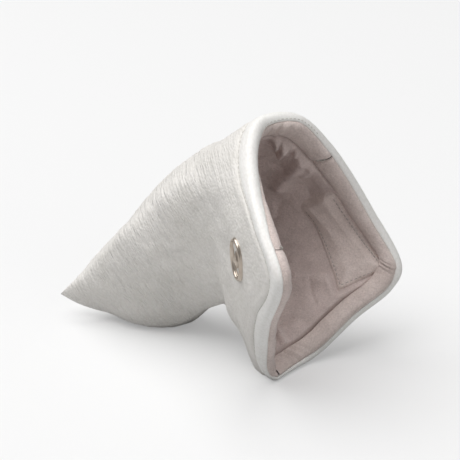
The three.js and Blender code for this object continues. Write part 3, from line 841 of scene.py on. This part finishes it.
def pocket_stitches(name, patch, size, replaced, body):
    """Stitches in the groove round a magnet pocket, but for its hidden upper end."""
    pitch, length, depth = 2.2, 1.5, LINING_BOTTOM + 1.25
    long, wide = size[0] / 2 - PAD_SEAM, size[1] / 2 - PAD_SEAM
    corners = np.array([[-long, -wide], [long, -wide], [long, wide], [-long, wide], [-long, -wide]])
    places, directions = [], []
    for start, end in zip(corners[:-1], corners[1:]):
        count = int(round(np.linalg.norm(end - start) / pitch))
        for k in range(count):
            places.append(start + (end - start) * (k + 0.5) / count)
            directions.append(unit(end - start))
    seen = np.array(places)[:, 0] > 8 - size[0] / 2
    (u, v), (du, dv) = np.array(places)[seen].T, np.array(directions)[seen].T
    middle = patch.at(u, v, depth)
    ahead = patch.at(u + du * 0.3, v + dv * 0.3, depth)
    proud = patch.at(u, v, depth + 0.5)
    size = (length, 0.45, 0.4)
    made = stitches(name, middle, unit(ahead - middle), unit(proud - middle), size, plush_thread)
    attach(made, body)
    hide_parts(*replaced)


for side, (patch, size, body) in PADS.items():
    pocket(f"magnet_pad_{side}", patch, size, [f"magnet_pocket_{side}"], 3.0 * size[1], body)
    pocket_stitches(f"pocket_stitches_{side}", patch, size, [f"pocket_thread_{side}"], body)


# ---------------------------------------------------------------- loose thread ends
def tube(path, radius, sides=6):
    """Points and faces of a thread along a path, closed at both ends."""
    heading = unit(np.gradient(path, axis=0))
    across = unit(np.cross(heading, np.array([0.31, 0.87, 0.38])))
    over = np.cross(heading, across)
    turn = np.linspace(0, 2 * math.pi, sides, endpoint=False)
    taper = radius * np.clip(np.sin(np.linspace(0.08, math.pi - 0.08, len(path))) * 3, 0.3, 1)
    spokes = np.cos(turn)[None, :, None] * across[:, None] + np.sin(turn)[None, :, None] * over[:, None]
    rings = path[:, None] + taper[:, None, None] * spokes
    points = np.concatenate([rings.reshape(-1, 3), path[:1], path[-1:]])
    faces = [grid_faces(len(path), sides, closed=True)]
    k = np.arange(sides)
    n = np.roll(k, -1)
    last = (len(path) - 1) * sides
    begin = np.full(sides, len(path) * sides)
    faces.append(np.stack([k, begin, begin, n], -1))
    end = begin + 1
    faces.append(np.stack([k + last, n + last, end, end], -1))
    return points, np.concatenate(faces)


THREADS = 9


def thread_tuft(name, join, seed, replaced, body):
    """Thread ends left where two lengths of facing meet."""
    random = np.random.default_rng(seed)
    points, faces, total = [], [], 0
    far = math.pi * EDGE_RADIUS + facing_edge(join) - EDGE_RADIUS
    middle = 0.5 * (wrap(join) + far)
    for _ in range(THREADS):
        u = np.linspace(0, 1, 9)
        start = random.uniform(-2.6, 2.6)
        run = random.uniform(-2.4, 2.4)
        spread = random.uniform(-0.006, 0.006)
        x = middle + start + run * u + random.uniform(-0.5, 0.5) * np.sin(5 * u)
        s = join + random.uniform(-0.0015, 0.0015) + spread * u
        lift = 1.2 + 1.0 * np.sin(math.pi * u) * random.uniform(0.6, 1.2) - 0.3 * u
        mm, depth = round_edge(x, lift)
        path = wall(from_crest(mm, s), s, depth)
        made, quads = tube(path, random.uniform(0.14, 0.22))
        points.append(made)
        faces.append(quads + total)
        total += len(made)
    made = add_mesh(name, np.concatenate(points), np.concatenate(faces), thread.material)
    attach(made, body)
    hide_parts(*replaced)


thread_tuft("thread_ends_flap", FRONT_JOIN, 5, ["join_thread_flap"], "front_flap")
thread_tuft("thread_ends_back", BACK_JOIN, 8, ["join_thread_back"], "pouch")

# ---------------------------------------------------------------- badge
BADGE = Patch(0.795, 0.25, np.array([0, 0, 1.0]))
BADGE_LONG, BADGE_WIDE, BADGE_BAND = 21.0, 15.0, 2.3
SET_IN = 0.25  # the badge sits a little into the leather


def badge_ring():
    """An oval ring with a rounded top and a narrow step outside it."""
    count = 96
    angle = np.linspace(0, 2 * math.pi, count, endpoint=False)
    half = BADGE_BAND / 2
    section = [(-half, SET_IN), (-half, -0.35), (-0.8 * half, -0.55)]
    arc = np.linspace(math.pi, 0, 9)
    section += [(0.72 * half * math.cos(a), -0.55 - 1.0 * math.sin(a)) for a in arc]
    section += [(0.8 * half, -0.55), (half, -0.35), (half, SET_IN)]
    rows = []
    for across, depth in section:
        u = (BADGE_LONG / 2 - half + across) * np.cos(angle)
        v = (BADGE_WIDE / 2 - half + across) * np.sin(angle)
        rows.append(BADGE.at(u, v, depth))
    faces = grid_faces(len(section) + 1, count, closed=True) % (len(section) * count)
    return np.stack(rows).reshape(-1, 3), faces


def badge_diamond():
    """A diamond with a bevelled rim and a low pyramid on it."""
    long, wide = 4.4, 3.0
    levels = [(1.0, SET_IN), (1.0, -0.5), (0.9, -0.75), (0.72, -0.75), (0.66, -1.0), (0.0, -1.9)]
    share = np.linspace(0, 1, 9)[:-1]
    corners = np.array([[long, 0], [0, wide], [-long, 0], [0, -wide]])
    sides = zip(corners, np.roll(corners, -1, 0))
    outline = np.concatenate([a + (b - a) * share[:, None] for a, b in sides])
    rows = [BADGE.at(outline[:, 0] * size, outline[:, 1] * size, depth) for size, depth in levels]
    count = len(outline)
    points = np.concatenate([np.stack(rows).reshape(-1, 3), BADGE.at(0.0, 0.0, SET_IN)[None]])
    k = np.arange(count)
    centre = np.full(count, len(points) - 1)
    under = np.stack([np.roll(k, -1), k, centre, centre], -1)
    return points, np.concatenate([grid_faces(len(levels), count, closed=True), under])


for name, make in (("badge_ring", badge_ring), ("badge_diamond", badge_diamond)):
    points, faces = make()
    piece = add_mesh(f"{name}_metal", points, faces, metal.material,
                     smooth_shaded=name == "badge_ring")
    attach(piece, "front_flap")
    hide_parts(name)

# ---------------------------------------------------------------- floor and light
FLOOR = 6.0  # half its side, in metres
GLOW = 0.29  # added to what the camera sees of the floor, and not to the light on the cover
floor_mesh = bpy.data.meshes.new("floor")
floor_corners = [(x * FLOOR, y * FLOOR, 0) for x, y in ((-1, -1), (1, -1), (1, 1), (-1, 1))]
floor_mesh.from_pydata(floor_corners, [], [(0, 1, 2, 3)])
floor = bpy.data.objects.new("floor", floor_mesh)
bpy.context.scene.collection.objects.link(floor)
floor_look = Look("floor_paper", 0.9, specular=0.1)
floor_look.shader.inputs["Base Color"].default_value = (0.56, 0.56, 0.56, 1)
floor_look.shader.inputs["Emission Color"].default_value = WHITE
seen_directly = floor_look.node("ShaderNodeLightPath").outputs["Is Camera Ray"]
glow = floor_look.math("MULTIPLY", seen_directly, GLOW)
floor_look.link(glow, floor_look.shader.inputs["Emission Strength"])
floor_mesh.materials.append(floor_look.material)


def area_light(name, place, size, energy, target=(0, 0, 0.05)):
    """A round lamp in metres and watts, aimed at the target."""
    light = bpy.data.lights.new(name, "AREA")
    light.shape = "DISK"
    light.size = size
    light.energy = energy
    lamp = bpy.data.objects.new(name, light)
    bpy.context.scene.collection.objects.link(lamp)
    lamp.location = place
    direction = np.array(target) - np.array(place)
    yaw = math.atan2(direction[1], direction[0])
    pitch = math.acos(-direction[2] / np.linalg.norm(direction))
    lamp.rotation_euler = (pitch, 0, yaw - math.pi / 2)


area_light("key_upper_left", (-0.9, 0.15, 3.0), 4.6, 143)
area_light("fill_front_right", (0.9, -1.4, 0.8), 1.2, 3)
world = bpy.data.worlds.new("studio")
bpy.context.scene.world = world
world.use_nodes = True
world.node_tree.nodes["Background"].inputs["Color"].default_value = WHITE
world.node_tree.nodes["Background"].inputs["Strength"].default_value = 0.21

# ---------------------------------------------------------------- looks of the CAD nodes that stay
for node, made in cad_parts.items():
    look = thread
    if "magnet" in node:
        look = magnet_look
    if "badge" in node:
        look = metal
    if "foam" in node:
        look = foam_look
    made.data.materials.clear()
    made.data.materials.append(look.material)
